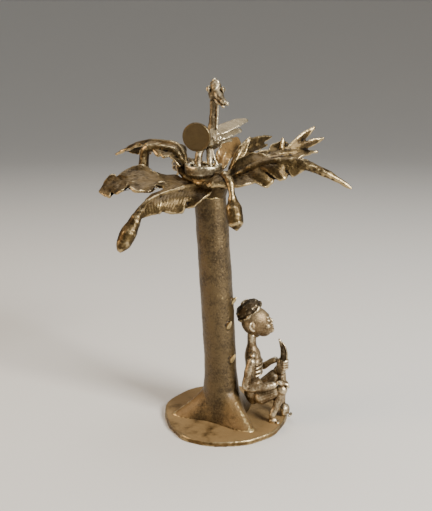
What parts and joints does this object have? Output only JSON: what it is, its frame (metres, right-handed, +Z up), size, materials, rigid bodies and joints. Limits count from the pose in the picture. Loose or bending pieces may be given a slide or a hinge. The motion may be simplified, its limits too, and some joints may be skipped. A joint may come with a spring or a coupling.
{
  "type": "cast brass tree figurine",
  "caption": "Small cast-brass tree on an oval plate, with notched drooping fronds, a long-necked bird in a nest on the crown and a capped sitter at its foot.",
  "frame": {"origin": "on the underside of the base plate, below the foot of the trunk", "axes": "+Z up along the trunk; -Y is the front; the sitter is at +X of the trunk and faces +X"},
  "size_m": [0.0768, 0.0495, 0.1099],
  "materials": {
    "plate_brass": "dusty, matte, bright at the raw edge",
    "trunk_brass": "dark golden-brown patina, satin",
    "frond_brass": "dusty patina, dark in the grooves",
    "figure_brass": "brown patina rubbed bright on the high spots",
    "polished_brass": "polished by handling",
    "dark_brass": "blackened patina"
  },
  "bodies": {
    "root": {"base_plate": "plate_brass", "trunk": "trunk_brass", "crown_boss": "trunk_brass", "frond_right": "frond_brass", "frond_front": "frond_brass", "frond_front_left": "frond_brass", "frond_left": "frond_brass", "frond_left_hanging": "frond_brass", "frond_back_left": "frond_brass", "frond_back": "frond_brass", "frond_back_upright": "frond_brass", "frond_back_right_far": "frond_brass", "frond_back_right": "frond_brass", "nest_dish": "frond_brass", "bird_body": "figure_brass", "bird_neck": "figure_brass", "bird_head": "figure_brass", "bird_beak": "figure_brass", "bird_crest": "figure_brass", "bird_wing": "figure_brass", "bird_leg_left": "figure_brass", "bird_leg_right": "figure_brass", "sitter_torso": "figure_brass", "sitter_head": "figure_brass", "sitter_arm_right": "figure_brass", "sitter_arm_left": "figure_brass", "sitter_leg_right": "figure_brass", "sitter_leg_left": "figure_brass", "bird_tail_disc": "polished_brass", "trunk_spur_upper": "polished_brass", "trunk_spur_middle": "polished_brass", "trunk_spur_lower": "polished_brass", "sitter_cap": "dark_brass", "sitter_horn": "dark_brass"}
  },
  "joints": []
}
